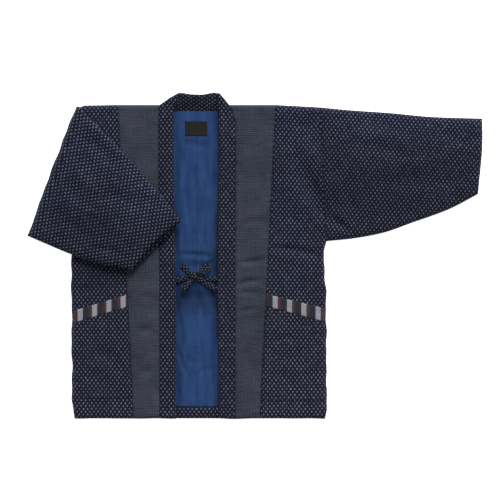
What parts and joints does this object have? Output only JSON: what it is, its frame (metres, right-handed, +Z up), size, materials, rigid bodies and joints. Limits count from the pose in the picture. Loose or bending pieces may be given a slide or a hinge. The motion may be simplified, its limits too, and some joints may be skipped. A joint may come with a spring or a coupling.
{
  "type": "padded kimono jacket",
  "caption": "Wadded kimono jacket laid flat, one sleeve folded over the front, with slate strips, patch pockets and a tied bow.",
  "frame": {"origin": "on the surface the jacket lies on, under the middle of its bounding box", "axes": "+X across the jacket towards the laid-out sleeve, +Y up its length to the neck, +Z up from the surface"},
  "size_m": [1.1326, 0.815, 0.0406],
  "materials": {
    "dotted_cotton": "matt navy cotton with small grey woven dots",
    "slate_cotton": "matt slate cotton with a very fine check",
    "blue_lining": "plain matt blue cotton",
    "striped_cotton": "matt cotton with broad white, red brown and navy stripes",
    "label_satin": "plain dark woven satin"
  },
  "bodies": {
    "root": {"back_left": "dotted_cotton", "back_right": "dotted_cotton", "lining_left": "blue_lining", "lining_right": "blue_lining", "hem_facing_left": "dotted_cotton", "hem_facing_right": "dotted_cotton", "collar_left": "dotted_cotton", "collar_right": "dotted_cotton", "collar_nape": "dotted_cotton", "strip_left": "slate_cotton", "strip_right": "slate_cotton", "front_left": "dotted_cotton", "front_right": "dotted_cotton", "pocket_left": "dotted_cotton", "pocket_right": "dotted_cotton", "pocket_welt_left": "striped_cotton", "pocket_welt_right": "striped_cotton", "sleeve_right": "dotted_cotton", "sleeve_left": "dotted_cotton", "tie_strap_left": "dotted_cotton", "tie_strap_right": "dotted_cotton", "tie_tail_upper": "dotted_cotton", "tie_tail_lower": "dotted_cotton", "tie_loop_upper": "dotted_cotton", "tie_loop_lower": "dotted_cotton", "tie_knot": "dotted_cotton", "label": "label_satin"}
  },
  "joints": []
}
